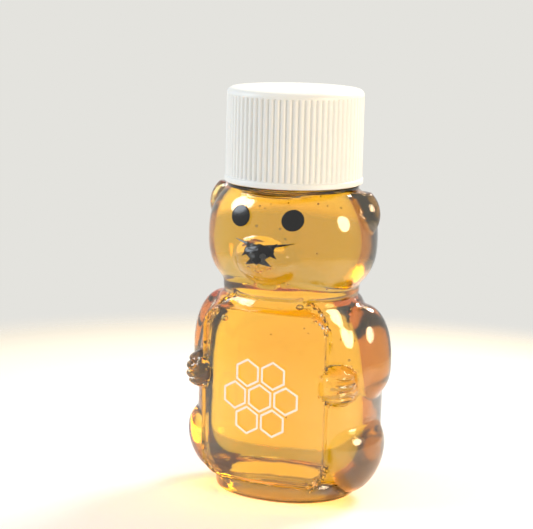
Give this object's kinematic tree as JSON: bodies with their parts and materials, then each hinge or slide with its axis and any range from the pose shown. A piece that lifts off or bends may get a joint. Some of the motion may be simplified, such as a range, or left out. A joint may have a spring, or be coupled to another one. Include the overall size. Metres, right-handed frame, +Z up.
{
  "type": "bear-shaped squeeze bottle",
  "caption": "Small clear bottle shaped as a sitting bear, full of honey, with a raised belly panel, printed eyes and nose and a ribbed white screw cap.",
  "frame": {"origin": "on the table, on the axis of neck and cap, under the middle of the bottle's box", "axes": "+Z up along the cap's axis, -Y the way the bear faces, +X the bear's own left"},
  "size_m": [0.0418, 0.0318, 0.0803],
  "materials": {
    "clear_pet": "clear gloss PET",
    "honey": "clear amber honey",
    "white_polypropylene": "satin white polypropylene",
    "foam_liner": "matt white polyethylene foam",
    "black_ink": "gloss black printing ink",
    "white_ink": "satin white printing ink"
  },
  "bodies": {
    "filled_bottle": {"bottle": "clear_pet", "honey": "honey", "left_eye": "black_ink", "right_eye": "black_ink", "nose": "black_ink", "belly_print": "white_ink"},
    "liner": {"cap_liner": "foam_liner"},
    "screw_cap": {"cap": "white_polypropylene"}
  },
  "joints": [
    {"name": "cap_lift", "type": "slide", "parent": "filled_bottle", "child": "liner", "axis": [0, 0, 1], "range_m": [0, 0.00556]},
    {"name": "cap_turn", "type": "hinge", "parent": "liner", "child": "screw_cap", "pos_m": [0, 0, 0.0715], "axis": [0, 0, 1], "range_deg": [0, 630]}
  ],
  "couplings": [
    {"joint": "cap_lift", "follows": "cap_turn", "m_per_rad": 0.00050532}
  ]
}
